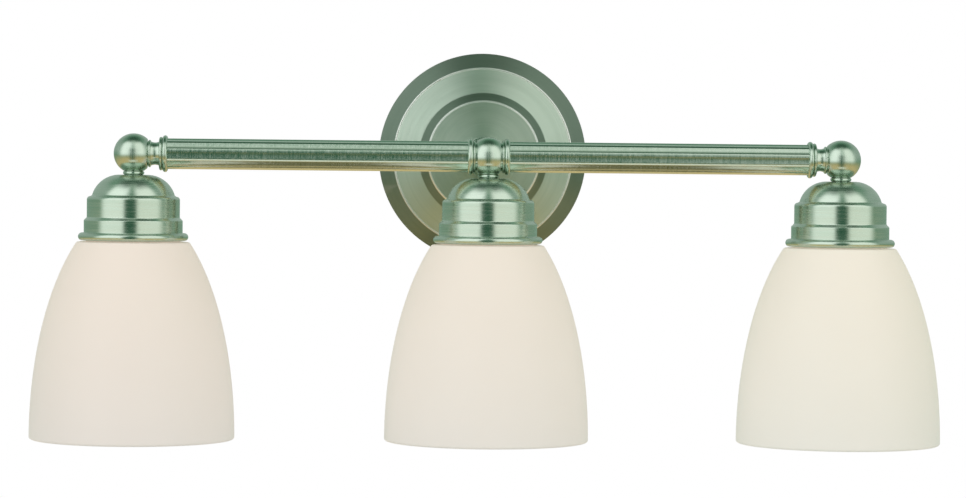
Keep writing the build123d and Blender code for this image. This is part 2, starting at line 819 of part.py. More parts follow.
for pole, upward in {"line": 1, "neutral": -1}.items():
    with BuildPart() as leads:
        for name in light_x:
            lead(*lead_route(name, upward))
    write_step(leads, f"{pole}_leads")

    with BuildPart() as connector:
        middle = Plane(origin=(0, lead_bend_y, 0), x_dir=(1, 0, 0), z_dir=(0, -upward, 0))
        connector_end = connector_start + connector_length
        turned(
            middle,
            (0, connector_start),
            (connector_r, connector_start),
            (connector_r, connector_start + connector_skirt),
            (connector_top_r, connector_end),
            (0, connector_end),
        )
        bore_end = connector_start + connector_bore
        tube(middle, 0, connector_mouth_r, connector_start, bore_end, mode=Mode.SUBTRACT)
    write_step(connector, f"{pole}_connector")
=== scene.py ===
"""Finished looks of a three-light vanity bar, built around its CAD frame.

Each sub-assembly is a class that holds its sizes, turns its own meshes and dresses them in a
finish. Lengths are metres in the frame's axes: +X to the right, -Y into the room, +Z up.
"""

import json
import logging
import math
from dataclasses import dataclass, field, replace
from enum import Enum
from typing import Callable, Sequence

import bmesh
import bpy
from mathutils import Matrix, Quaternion, Vector


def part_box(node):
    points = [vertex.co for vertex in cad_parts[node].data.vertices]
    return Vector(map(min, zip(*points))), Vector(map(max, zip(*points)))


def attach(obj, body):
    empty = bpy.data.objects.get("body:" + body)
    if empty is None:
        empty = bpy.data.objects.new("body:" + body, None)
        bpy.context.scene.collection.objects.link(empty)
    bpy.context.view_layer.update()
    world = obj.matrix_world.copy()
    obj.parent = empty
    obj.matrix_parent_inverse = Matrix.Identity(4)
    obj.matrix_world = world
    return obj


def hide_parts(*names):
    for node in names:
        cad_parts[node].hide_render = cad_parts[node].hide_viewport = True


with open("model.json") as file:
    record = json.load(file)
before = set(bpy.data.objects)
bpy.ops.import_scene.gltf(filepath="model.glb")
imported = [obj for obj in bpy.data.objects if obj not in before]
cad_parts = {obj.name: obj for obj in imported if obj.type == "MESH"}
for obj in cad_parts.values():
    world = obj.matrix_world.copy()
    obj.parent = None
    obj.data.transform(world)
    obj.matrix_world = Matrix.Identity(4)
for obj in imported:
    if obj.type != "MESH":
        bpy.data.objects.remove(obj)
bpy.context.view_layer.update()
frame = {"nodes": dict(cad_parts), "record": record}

LOG = logging.getLogger("vanity_light")

MM = 0.001
FULL_TURN = 2 * math.pi
RIGHT = Vector((1, 0, 0))
UP = Vector((0, 0, 1))
ROOM = Vector((0, -1, 0))

Point = tuple[float, float]
Colour = tuple[float, float, float]


class Side(Enum):
    """Which light a piece belongs to, and the way from it to the bar's middle."""

    LEFT = ("left", 1)
    CENTRE = ("centre", 0)
    RIGHT = ("right", -1)

    @property
    def label(self) -> str:
        """The word that the frame's nodes and bodies end with."""
        return self.value[0]

    @property
    def inward(self) -> int:
        """1 or -1 along X towards the bar's middle, or 0 at the middle."""
        return self.value[1]


ENDS = (Side.LEFT, Side.RIGHT)


def middle_of(node: str) -> Vector:
    """The centre of a CAD node's box."""
    low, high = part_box(node)
    return (Vector(low) + Vector(high)) / 2


# ---------------------------------------------------------------- node graphs


class Graph:
    """The node tree of a material or a world, with short ways to add and join its nodes."""

    def __init__(self, owner: bpy.types.ID) -> None:
        """Start an empty tree.

        Args:
            owner: the material or world that it belongs to.
        """
        self.owner = owner
        self.owner.use_nodes = True
        self.tree = self.owner.node_tree
        self.tree.nodes.clear()

    @classmethod
    def of_material(cls, name: str) -> "Graph":
        """Start an empty material of that name."""
        return cls(bpy.data.materials.new(name))

    def add(self, kind: str, **settings: object) -> bpy.types.Node:
        """Add a node.

        Args:
            kind: the node's Blender type without the ShaderNode prefix.
            **settings: node properties, or input values by socket name with spaces as underscores.

        Returns:
            The new node.
        """
        node = self.tree.nodes.new("ShaderNode" + kind)
        for key, value in settings.items():
            if hasattr(node, key):
                setattr(node, key, value)
            else:
                node.inputs[key.replace("_", " ")].default_value = value
        return node

    def join(self, source: bpy.types.NodeSocket, target: bpy.types.NodeSocket) -> None:
        """Link an output to an input."""
        self.tree.links.new(source, target)

    def vector(self, operation: str, first: object, second: object = None) -> bpy.types.Node:
        """Add vector arithmetic on sockets or constant vectors.

        Args:
            operation: the Vector Math operation.
            first: a socket or a constant.
            second: a socket, a constant, or None for operations of one vector.

        Returns:
            The Vector Math node.
        """
        node = self.add("VectorMath", operation=operation)
        for socket, value in zip(node.inputs, (first, second)):
            self._feed(socket, value)
        return node

    def number(self, operation: str, first: object, second: object = None) -> bpy.types.NodeSocket:
        """Add arithmetic on numbers.

        Args:
            operation: the Math operation.
            first: a socket or a constant.
            second: a socket, a constant, or None.

        Returns:
            The result's socket.
        """
        node = self.add("Math", operation=operation)
        for socket, value in zip(node.inputs, (first, second)):
            self._feed(socket, value)
        return node.outputs[0]

    def _feed(self, socket: bpy.types.NodeSocket, value: object) -> None:
        """Link a socket, or set a constant."""
        if isinstance(value, bpy.types.NodeSocket):
            self.join(value, socket)
        elif value is not None:
            socket.default_value = value

    def position(self) -> bpy.types.NodeSocket:
        """The surface point in the frame's own coordinates."""
        return self.add("TexCoord").outputs["Object"]

    def noise(self, at: bpy.types.NodeSocket, scale: float, detail: float = 2.0) -> bpy.types.NodeSocket:
        """Soft noise.

        Args:
            at: the vector that it reads.
            scale: cells per metre.
            detail: octaves.

        Returns:
            The noise value, from 0 to 1.
        """
        node = self.add("TexNoise", Scale=scale, Detail=detail, Roughness=0.6)
        self.join(at, node.inputs["Vector"])
        return node.outputs["Fac"]

    def span(
        self,
        value: bpy.types.NodeSocket,
        low: float,
        high: float,
        start: float = 0.3,
        end: float = 0.7,
    ) -> bpy.types.NodeSocket:
        """Spread a value between two limits.

        Args:
            value: the socket to read.
            low: result at start.
            high: result at end.
            start: value that gives low.
            end: value that gives high.

        Returns:
            The result's socket.
        """
        node = self.add("MapRange")
        self.join(value, node.inputs["Value"])
        for key, number in (("From Min", start), ("From Max", end), ("To Min", low), ("To Max", high)):
            node.inputs[key].default_value = number
        return node.outputs["Result"]

    def blend(self, share: object, first: object, second: object) -> bpy.types.NodeSocket:
        """Mix two colours.

        Args:
            share: how much of the second, as a socket or a number.
            first: a colour or a socket.
            second: a colour or a socket.

        Returns:
            The mixed colour's socket.
        """
        node = self.add("Mix", data_type="RGBA")
        self._feed(node.inputs[0], share)
        for socket, value in ((node.inputs[6], first), (node.inputs[7], second)):
            self._feed(socket, (*value, 1.0) if isinstance(value, tuple) else value)
        return node.outputs[2]

    def bump(
        self, height: bpy.types.NodeSocket, depth: float, strength: float = 1.0
    ) -> bpy.types.NodeSocket:
        """A normal that follows a height.

        Args:
            height: the height's socket.
            depth: how far the height's full range stands out, in metres.
            strength: share of the effect.

        Returns:
            The normal's socket.
        """
        node = self.add("Bump", Distance=depth, Strength=strength)
        self.join(height, node.inputs["Height"])
        return node.outputs["Normal"]

    def shade(self, **inputs: object) -> bpy.types.Material:
        """Close the graph with one main shader.

        Args:
            **inputs: sockets or constants for its inputs, with spaces as underscores.

        Returns:
            The finished material.
        """
        shader = self.add("BsdfPrincipled")
        for key, value in inputs.items():
            socket = shader.inputs[key.replace("_", " ")]
            if isinstance(value, tuple) and socket.type == "RGBA":
                value = (*value, 1.0)
            self._feed(socket, value)
        output = self.add("OutputMaterial")
        self.join(shader.outputs[0], output.inputs["Surface"])
        return self.owner


# ---------------------------------------------------------------- finishes


@dataclass(frozen=True)
class BrushedNickel:
    """Satin nickel with a green cast, brushed round an axis.

    The painted shade bands and the painted highlight rings are radii from that axis. Convex edges also
    get a painted highlight and concave creases a painted shade.
    """

    pale: Colour = (0.60, 0.70, 0.605)
    deep: Colour = (0.47, 0.59, 0.49)
    # painted highlight colour, for convex edges and thin highlight rings
    edge: Colour = (0.82, 0.90, 0.82)
    # painted shade colour, for concave creases and the darkened bands
    painted_shade: Colour = (0.08, 0.13, 0.09)
    roughness: float = 0.24
    anisotropy: float = 0.75
    lines_per_metre: float = 1300.0
    bands_per_metre: float = 210.0
    clouds_per_metre: float = 38.0
    drift: tuple[float, float, float] = (0.05, 0.04, 0.03)
    line_depth: float = 0.0000015
    # radii of thin painted highlight rings, radius ranges of painted shade bands, and how strong that
    # painted shade is
    highlight_radii: tuple[float, ...] = ()
    darkened: tuple[Point, ...] = ()
    shade_band_strength: float = 0.72

    def material(self, name: str, centre: Vector, axis: Vector) -> bpy.types.Material:
        """Build the finish for pieces turned about one axis.

        Args:
            name: the material's name.
            centre: a point on the axis.
            axis: its direction.

        Returns:
            The material.
        """
        graph = Graph.of_material(name)
        spot = graph.vector("SUBTRACT", graph.position(), tuple(centre)).outputs[0]
        along = graph.vector("DOT_PRODUCT", spot, tuple(axis)).outputs["Value"]
        lengthwise = graph.vector("SCALE", tuple(axis))
        graph.join(along, lengthwise.inputs["Scale"])
        outwards = graph.vector("SUBTRACT", spot, lengthwise.outputs[0]).outputs[0]
        radius = graph.vector("LENGTH", outwards).outputs["Value"]
        drift = graph.vector("DOT_PRODUCT", spot, self.drift).outputs["Value"]
        streaks = graph.add("CombineXYZ")
        for socket, value in zip(streaks.inputs, (along, radius, drift)):
            graph.join(value, socket)
        lines = graph.noise(streaks.outputs[0], self.lines_per_metre, 3.0)
        bands = graph.noise(streaks.outputs[0], self.bands_per_metre, 2.0)
        clouds = graph.noise(spot, self.clouds_per_metre, 3.0)
        tone = graph.span(graph.number("ADD", lines, bands), 0.0, 1.0, 0.6, 1.4)
        metal = graph.blend(tone, self.deep, self.pale)
        metal = graph.blend(graph.span(clouds, 0.0, 0.2), metal, self.deep)
        # painted highlight on convex edges and painted shade in concave creases, read from the mesh's
        # curvature
        curve = graph.add("NewGeometry").outputs["Pointiness"]
        metal = graph.blend(graph.span(curve, 0.0, 0.55, 0.53, 0.62), metal, self.edge)
        metal = graph.blend(graph.span(curve, 0.8, 0.0, 0.36, 0.47), metal, self.painted_shade)
        return graph.shade(
            Base_Color=self.paint_light_rings(graph, radius, metal),
            Metallic=1.0,
            Roughness=graph.span(lines, self.roughness - 0.05, self.roughness + 0.07),
            Anisotropic=self.anisotropy,
            Anisotropic_Rotation=0.25,
            Tangent=graph.vector("CROSS_PRODUCT", tuple(axis), outwards).outputs[0],
            Normal=graph.bump(lines, self.line_depth, 0.25),
        )

    def paint_light_rings(
        self, graph: Graph, radius: bpy.types.NodeSocket, metal: bpy.types.NodeSocket
    ) -> bpy.types.NodeSocket:
        """Paint shade on the darkened bands and paint highlights on thin rings of a turned piece.

        Args:
            graph: the tree to add to.
            radius: distance from the axis.
            metal: the colour so far.

        Returns:
            The colour with its painted shade bands and painted highlight rings.
        """
        # painted shade on the darkened bands
        for inner, outer in self.darkened:
            middle, half = ((inner + outer) / 2, (outer - inner) / 2)
            off = graph.number("ABSOLUTE", graph.number("SUBTRACT", radius, middle))
            share = graph.span(off, self.shade_band_strength, 0.0, half - 0.4 * MM, half + 0.4 * MM)
            metal = graph.blend(share, metal, self.painted_shade)
        # painted highlight rings
        for edge in self.highlight_radii:
            off = graph.number("ABSOLUTE", graph.number("SUBTRACT", radius, edge))
            metal = graph.blend(graph.span(off, 1.0, 0.0, 0.4 * MM, 0.9 * MM), metal, self.edge)
        return metal


@dataclass(frozen=True)
class OpalGlass:
    """White opal glass with a satin skin and a painted glow that stands in for the bulb inside it."""

    body: Colour = (0.80, 0.70, 0.66)
    painted_glow_top: Colour = (1.0, 0.86, 0.71)
    painted_glow_low: Colour = (0.72, 0.76, 0.80)
    # strength of the painted glow
    glow: float = 0.25
    roughness: float = 0.5

    def material(self, name: str, low: float, high: float) -> bpy.types.Material:
        """Build the finish.

        Args:
            name: the material's name.
            low: height of the shade's mouth.
            high: height of its neck.

        Returns:
            The material.
        """
        graph = Graph.of_material(name)
        spot = graph.position()
        parts = graph.add("SeparateXYZ")
        graph.join(spot, parts.inputs[0])
        height = graph.span(parts.outputs["Z"], 0.0, 1.0, low, high)
        milk = graph.noise(spot, 22.0, 3.0)
        ripple = graph.noise(spot, 190.0, 2.0)
        tint = graph.blend(graph.span(milk, 0.0, 0.5), self.body, tuple(c * 0.97 for c in self.body))
        # painted light: the glow is warmer and brighter towards the neck and cooler towards the mouth
        light = graph.blend(graph.number("POWER", height, 0.8), self.painted_glow_low, self.painted_glow_top)
        return graph.shade(
            Base_Color=tint,
            Roughness=graph.span(ripple, self.roughness - 0.04, self.roughness + 0.05),
            IOR=1.4,
            Subsurface_Weight=0.15,
            Subsurface_Radius=(0.01, 0.009, 0.008),
            Subsurface_Scale=0.5,
            Emission_Color=light,
            Emission_Strength=self.glow,
            Normal=graph.bump(milk, 0.0003, 0.3),
        )


@dataclass(frozen=True)
class PlainFinish:
    """A simple finish with a fine grain: plating, moulded plastic, enamel or insulation."""

    colour: Colour
    roughness: float = 0.4
    metallic: float = 0.0
    grain_per_metre: float = 900.0
    grain_depth: float = 0.00001
    shift: float = 0.25
    glow: float = 0.0

    def material(self, name: str) -> bpy.types.Material:
        """Build the finish.

        Args:
            name: the material's name.

        Returns:
            The material.
        """
        graph = Graph.of_material(name)
        spot = graph.position()
        grain = graph.noise(spot, self.grain_per_metre, 4.0)
        cloud = graph.noise(spot, 60.0, 3.0)
        darkened = tuple(c * (1 - self.shift) for c in self.colour)
        colour = graph.blend(graph.span(cloud, 0.0, 1.0), self.colour, darkened)
        return graph.shade(
            Base_Color=colour,
            Metallic=self.metallic,
            Roughness=graph.span(grain, self.roughness * 0.85, self.roughness * 1.2),
            Emission_Color=self.colour,
            Emission_Strength=self.glow,
            Normal=graph.bump(grain, self.grain_depth, 0.6),
        )


FINISHES: dict[str, PlainFinish] = {
    "zinc_steel": PlainFinish((0.60, 0.62, 0.64), 0.32, 1.0, 300.0, 0.00002, 0.18),
    "dark_phenolic": PlainFinish((0.030, 0.024, 0.020), 0.30, 0.0, 1500.0, 0.00002, 0.3),
    "brass": PlainFinish((0.80, 0.58, 0.24), 0.28, 1.0, 800.0, 0.00001, 0.25),
    "tinned_brass": PlainFinish((0.72, 0.70, 0.62), 0.35, 1.0, 700.0, 0.00001, 0.2),
    "ground_green": PlainFinish((0.03, 0.26, 0.08), 0.35, 0.6, 700.0, 0.00001, 0.2),
    "lead_black": PlainFinish((0.02, 0.02, 0.02), 0.45, 0.0, 1200.0, 0.00001, 0.3),
    "lead_white": PlainFinish((0.78, 0.77, 0.73), 0.45, 0.0, 1200.0, 0.00001, 0.12),
    "lead_green": PlainFinish((0.03, 0.30, 0.08), 0.45, 0.0, 1200.0, 0.00001, 0.2),
    "connector_plastic": PlainFinish((0.78, 0.24, 0.03), 0.42, 0.0, 900.0, 0.00003, 0.15),
    "bulb_cap_metal": PlainFinish((0.78, 0.78, 0.79), 0.25, 1.0, 500.0, 0.00001, 0.15),
    "black_insulator": PlainFinish((0.015, 0.015, 0.02), 0.12, 0.0, 400.0, 0.00001, 0.2),
    "solder_tip": PlainFinish((0.58, 0.58, 0.56), 0.4, 1.0, 400.0, 0.00006, 0.25),
    "frosted_glass": PlainFinish((0.86, 0.84, 0.79), 0.55, 0.0, 2500.0, 0.00001, 0.06, 0.04),
}
NICKEL = BrushedNickel()
# opal colour of each light; the differences between the lights are painted light, as if their bulbs
# differed in brightness
SHADE_COLOURS_WITH_BULB_LIGHT: dict[Side, Colour] = {
    Side.LEFT: (0.80, 0.70, 0.66),
    Side.CENTRE: (0.805, 0.72, 0.67),
    Side.RIGHT: (0.83, 0.77, 0.705),
}


# ---------------------------------------------------------------- meshes


def arc(centre: Point, radius: float, start: float, end: float, count: int = 24) -> list[Point]:
    """Points of a round stretch of a profile.

    Args:
        centre: radius and height of the arc's centre.
        radius: the arc's radius.
        start: first angle in degrees, from straight outwards towards up.
        end: last angle in degrees.
        count: how many steps.

    Returns:
        The points, ends included.
    """
    angles = [math.radians(start + (end - start) * i / count) for i in range(count + 1)]
    return [(centre[0] + radius * math.cos(a), centre[1] + radius * math.sin(a)) for a in angles]


def as_object(mesh_maker: bmesh.types.BMesh, name: str) -> bpy.types.Object:
    """Write a bmesh to a new smooth-shaded object at the origin.

    Args:
        mesh_maker: the finished bmesh, which is freed.
        name: the object's name.

    Returns:
        The object.
    """
    mesh = bpy.data.meshes.new(name)
    mesh_maker.to_mesh(mesh)
    mesh_maker.free()
    for face in mesh.polygons:
        face.use_smooth = True
    piece = bpy.data.objects.new(name, mesh)
    bpy.context.scene.collection.objects.link(piece)
    return piece


def weigh_normals(piece: bpy.types.Object) -> None:
    """Let the broad faces set the shading, so that small rounded edges look crisp."""
    modifier = piece.modifiers.new("crisp_edges", "WEIGHTED_NORMAL")
    modifier.keep_sharp = True
    modifier.weight = 60


def ring_corners(maker: bmesh.types.BMesh, sharpest: float) -> list[bmesh.types.BMEdge]:
    """Edges between faces that meet at more than an angle.

    Args:
        maker: the bmesh to search.
        sharpest: the angle in degrees.

    Returns:
        The edges.
    """
    limit = math.radians(sharpest)
    return [e for e in maker.edges if e.is_manifold and e.calc_face_angle(0.0) > limit]


@dataclass(frozen=True)
class Lathe:
    """Turns profiles about one line."""

    centre: Vector
    axis: Vector
    steps: int = 144

    def spun(self, profile: Sequence[Point], ring: bool = False) -> bmesh.types.BMesh:
        """Spin a profile into a closed skin.

        Args:
            profile: radius and height of each point.
            ring: True if the last point joins the first, as in a ring or a shell.

        Returns:
            The bmesh, with its faces pointing outwards.
        """
        across = UP if abs(self.axis.z) < 0.5 else RIGHT
        maker = bmesh.new()
        verts = [maker.verts.new(self.centre + across * r + self.axis * h) for r, h in profile]
        pairs = list(zip(verts, verts[1:])) + ([(verts[-1], verts[0])] if ring else [])
        edges = [maker.edges.new(pair) for pair in pairs]
        bmesh.ops.spin(
            maker,
            geom=verts + edges,
            cent=self.centre,
            axis=self.axis,
            angle=FULL_TURN,
            steps=self.steps,
            use_merge=True,
        )
        bmesh.ops.remove_doubles(maker, verts=maker.verts, dist=1e-6)
        bmesh.ops.recalc_face_normals(maker, faces=maker.faces)
        return maker

    def turn(
        self,
        name: str,
        profile: Sequence[Point],
        ring: bool = False,
        edge: float = 0.25 * MM,
        corner: float = 24.0,
        shape: Callable[[bmesh.types.BMesh], None] | None = None,
    ) -> bpy.types.Object:
        """Turn a piece and round its corners.

        Args:
            name: the piece's name.
            profile: radius and height of each point.
            ring: True for a closed outline.
            edge: width of the rounded corners.
            corner: corners sharper than this many degrees are rounded.
            shape: further work on the bmesh before it is rounded, or None.

        Returns:
            The piece.
        """
        maker = self.spun(profile, ring)
        if shape:
            shape(maker)
        bmesh.ops.bevel(
            maker,
            geom=ring_corners(maker, corner),
            offset=edge,
            offset_type="OFFSET",
            segments=3,
            profile=0.5,
            affect="EDGES",
            clamp_overlap=True,
            material=-1,
        )
        piece = as_object(maker, name)
        weigh_normals(piece)
        return piece


def cut_flat(maker: bmesh.types.BMesh, at: Vector, out: Vector) -> None:
    """Cut a flat on a closed skin and close it.

    Args:
        maker: the bmesh.
        at: a point of the flat.
        out: the direction that is cut away.
    """
    geometry = maker.verts[:] + maker.edges[:] + maker.faces[:]
    cut = bmesh.ops.bisect_plane(maker, geom=geometry, plane_co=at, plane_no=out, clear_outer=True)
    rim = [e for e in cut["geom_cut"] if isinstance(e, bmesh.types.BMEdge)]
    bmesh.ops.holes_fill(maker, edges=rim, sides=0)


def dress(
    piece: bpy.types.Object, body: str, slot: str, material: bpy.types.Material, *nodes: str
) -> None:
    """Give a new piece its finish and body, log its slot, and let it stand for its CAD nodes.

    Args:
        piece: the new piece.
        body: the body that it moves with.
        slot: the record's material slot.
        material: its finish.
        *nodes: the CAD nodes that it replaces.
    """
    piece.data.materials.clear()
    piece.data.materials.append(material)
    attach(piece, body)
    if nodes:
        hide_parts(*nodes)
    LOG.info("%s rides on %s in %s", piece.name, body, slot)


# ---------------------------------------------------------------- sub-assemblies


@dataclass
class Canopy:
    """The spun wall plate and its two cap nuts."""

    radius: float = 67.8 * MM
    lip: float = 1.6 * MM
    crease: Point = (57.8 * MM, 10.2 * MM)
    band_end: Point = (41.8 * MM, 16.6 * MM)
    disc_radius: float = 36.2 * MM
    depth: float = 25.4 * MM
    sheet: float = 1.0 * MM
    nut_radius: float = 5.2 * MM
    nut_height: float = 7.5 * MM
    lathe: Lathe = field(default_factory=lambda: Lathe(Vector((0, 0, 0)), ROOM, 192))

    def outline(self) -> list[Point]:
        """Closed profile of the sheet, outside first.

        Returns:
            Radius and depth of each point.
        """
        rise, run = (self.band_end[1] - self.crease[1], self.crease[0] - self.band_end[0])
        slope = math.degrees(math.atan2(rise, run))
        ridge = arc((self.crease[0], self.crease[1] - 0.45 * MM), 0.75 * MM, 20, 150 - slope, 12)
        outside = [
            (self.radius, 0.0),
            (self.radius, self.lip),
            *ridge,
            self.band_end,
            (self.disc_radius, self.depth),
            (0.0, self.depth),
        ]
        inside = [
            (0.0, self.depth - self.sheet),
            (self.disc_radius - self.sheet * 0.7, self.depth - self.sheet),
            (self.band_end[0] - self.sheet * 0.7, self.band_end[1] - self.sheet),
            (self.crease[0] - self.sheet * 0.5, self.crease[1] - self.sheet),
            (self.radius - self.sheet, self.lip),
            (self.radius - self.sheet, 0.0),
        ]
        return outside + inside

    def build(self) -> None:
        """Turn and dress the plate and the cap nuts."""
        plate = self.lathe.turn("wall_canopy", self.outline(), ring=True, edge=0.55 * MM)
        # painted highlight rings on the crease and the disc's edge, in a brighter painted highlight
        # colour; painted shade bands on the steep step and the outer slope
        canopy_nickel = replace(
            NICKEL,
            roughness=0.41,
            anisotropy=0.85,
            edge=(0.97, 1.0, 0.96),
            highlight_radii=(self.crease[0], self.disc_radius),
            darkened=((self.disc_radius, self.band_end[0]), (self.crease[0], self.radius + MM)),
        )
        finish = canopy_nickel.material("nickel_canopy", self.lathe.centre, ROOM)
        dress(plate, "fixture", "brushed_nickel", finish, "canopy")
        low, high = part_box("canopy_cap_nuts")
        reach = (high[0] - low[0]) / 2 - self.nut_radius
        spring = self.depth + self.nut_height - self.nut_radius
        dome = arc((0.0, spring), self.nut_radius, 0, 90, 14)
        profile = [(0.0, self.depth), (self.nut_radius, self.depth), *dome]
        nuts = [
            Lathe(RIGHT * side * reach, ROOM, 48).turn(f"cap_nut_{word}", profile)
            for side, word in ((-1, "left"), (1, "right"))
        ]
        for nut in nuts:
            dress(nut, "fixture", "brushed_nickel", finish)
        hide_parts("canopy_cap_nuts")


@dataclass
class Arm:
    """The cover tube between the canopy and the centre ball."""

    bore: float = 5.0 * MM
    tube: float = 8.0 * MM
    foot: float = 13.0 * MM
    foot_height: float = 5.5 * MM
    ring: float = 9.6 * MM
    seat: float = 6.2 * MM

    def build(self) -> None:
        """Turn and dress the arm."""
        low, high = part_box("arm_tube")
        start, end = -high[1], -low[1]
        bell = arc((self.foot, start + self.foot_height), self.foot - self.tube, 180, 235, 10)[::-1]
        bell = [(r, max(h, start + 1.6 * MM)) for r, h in bell]
        bead = arc((self.ring - 2.0 * MM, end - 4.4 * MM), 2.0 * MM, -80, 80, 12)
        profile = [
            (self.bore, start),
            (self.foot, start),
            (self.foot, start + 1.6 * MM),
            *bell,
            (self.tube, end - 7.0 * MM),
            *bead,
            (self.seat, end - 2.2 * MM),
            (self.seat, end),
            (self.bore, end),
        ]
        piece = Lathe(Vector((0, 0, 0)), ROOM, 96).turn("arm_cover", profile, ring=True, corner=40)
        finish = NICKEL.material("nickel_arm", Vector((0, 0, 0)), ROOM)
        dress(piece, "fixture", "brushed_nickel", finish, "arm_tube")


@dataclass
class Bar:
    """Ball knuckles, collars and fluted tubes on the bar's axis."""

    ball: float = 12.4 * MM
    seat: float = 6.2 * MM
    bead_start: float = 9.0 * MM
    bead_root: float = 7.7 * MM
    bead_radius: float = 8.5 * MM
    bead_length: float = 1.6 * MM
    neck: float = 7.5 * MM
    neck_waist: float = 0.6 * MM
    end_face: float = 15.8 * MM
    ring_start: float = 8.4 * MM
    ring_radius: float = 10.2 * MM
    centre_face: float = 9.7 * MM
    groove: float = 1.2 * MM
    flange: float = 11.4 * MM
    bore: float = 4.85 * MM
    tube: float = 9.5 * MM
    flutes: int = 10
    flute_radius: float = 8.0 * MM
    flute_depth: float = 0.5 * MM
    flute_turn: float = 4.0

    @property
    def flat(self) -> float:
        """From a ball's centre to its flat seat."""
        return math.sqrt(self.ball**2 - self.seat**2)

    def middle(self, side: Side) -> Vector:
        """The centre of a ball."""
        low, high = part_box("seat_collars")
        reach = (high[0] - low[0]) / 2 - 6.6 * MM
        return Vector((-side.inward * reach, (low[1] + high[1]) / 2, 0.0))

    def ball_arc(self, start: float, end: float, count: int = 40) -> list[Point]:
        """Part of the ball's profile between two distances along the bar."""
        first, last = (math.degrees(math.asin(v / self.ball)) for v in (start, end))
        return arc((0.0, 0.0), self.ball, first, last, count)

    def bead(self, start: float, end: float, radius: float) -> list[Point]:
        """A rounded ring's profile, half as high as it is wide."""
        half = (end - start) / 2
        return arc((radius - half, start + half), half, -90, 90, 14)

    def end_knuckle(self, side: Side) -> None:
        """Turn and dress an end ball with its bead ring and waisted neck."""
        centre = self.middle(side)
        axis = RIGHT * side.inward
        groove_start = self.bead_start - self.groove / 2
        neck_start = self.bead_start + self.bead_length
        sag = self.neck_waist
        half = (self.end_face - neck_start) / 2
        waist = [
            (self.neck - sag * math.cos(math.pi * t / 12 - math.pi / 2), neck_start + half * t / 6)
            for t in range(13)
        ]
        profile = [
            *self.ball_arc(-self.ball, groove_start, 56),
            (self.bead_root, groove_start),
            *self.bead(self.bead_start, neck_start, self.bead_radius),
            *waist,
            (0.0, self.end_face),
        ]
        seat = centre - UP * self.flat
        knuckle = Lathe(centre, axis, 128).turn(
            f"ball_{side.label}", profile, shape=lambda maker: cut_flat(maker, seat, -UP)
        )
        finish = NICKEL.material(f"nickel_ball_{side.label}", centre, RIGHT)
        dress(knuckle, "fixture", "brushed_nickel", finish, f"end_knuckle_{side.label}")

    def centre_knuckle(self) -> None:
        """Turn and dress the centre ball with a ring on each cheek."""
        centre = self.middle(Side.CENTRE)
        start = self.ring_start - self.groove
        cheek = [
            *self.ball_arc(0.0, start, 24),
            (self.ring_radius - self.groove, start),
            (self.ring_radius - self.groove, self.ring_start),
            *self.bead(self.ring_start, self.centre_face, self.ring_radius),
            (0.0, self.centre_face),
        ]
        profile = [(r, -h) for r, h in reversed(cheek)] + cheek[1:]

        def seats(maker: bmesh.types.BMesh) -> None:
            """Cut the flats for the fitter below and the arm behind."""
            cut_flat(maker, centre - UP * self.flat, -UP)
            cut_flat(maker, centre - ROOM * self.flat, -ROOM)

        knuckle = Lathe(centre, RIGHT, 128).turn("ball_centre", profile, shape=seats)
        finish = NICKEL.material("nickel_ball_centre", centre, RIGHT)
        dress(knuckle, "fixture", "brushed_nickel", finish, "centre_knuckle")

    def collars(self) -> None:
        """Turn and dress the four collars that hide the tubes' ends."""
        finish = NICKEL.material("nickel_collars", self.middle(Side.CENTRE), RIGHT)
        step_end = self.end_face + 2.1 * MM
        end_tube = step_end + 3.1 * MM
        centre_tube = self.centre_face + 3.4 * MM
        end_profile = [
            (self.bore, self.end_face),
            *self.bead(self.end_face, step_end, self.flange - 1.0 * MM),
            *self.bead(step_end, end_tube, self.flange),
            (self.bore, end_tube),
        ]
        centre_profile = [
            (self.bore, self.centre_face),
            *self.bead(self.centre_face, centre_tube, self.flange),
            (self.bore, centre_tube),
        ]
        for side in ENDS:
            outer = Lathe(self.middle(side), RIGHT * side.inward, 128)
            inner = Lathe(self.middle(Side.CENTRE), RIGHT * -side.inward, 128)
            end_ring = outer.turn(f"end_collar_{side.label}", end_profile, ring=True)
            centre_ring = inner.turn(f"centre_collar_{side.label}", centre_profile, ring=True)
            for ring in (end_ring, centre_ring):
                dress(ring, "fixture", "brushed_nickel", finish)
            if side is Side.LEFT:
                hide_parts("end_collars")
                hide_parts("centre_collars")

    def flute_dip(self, angle: float) -> float:
        """How deep the tube's surface lies below its round at an angle from the front."""
        pitch = FULL_TURN / self.flutes
        off = (angle - math.radians(self.flute_turn) + pitch / 2) % pitch - pitch / 2
        reach = self.tube + self.flute_radius - self.flute_depth
        inside = self.flute_radius**2 - (reach * math.sin(off)) ** 2
        if inside <= 0:
            return 0.0
        return max(0.0, self.tube - (reach * math.cos(off) - math.sqrt(inside)))

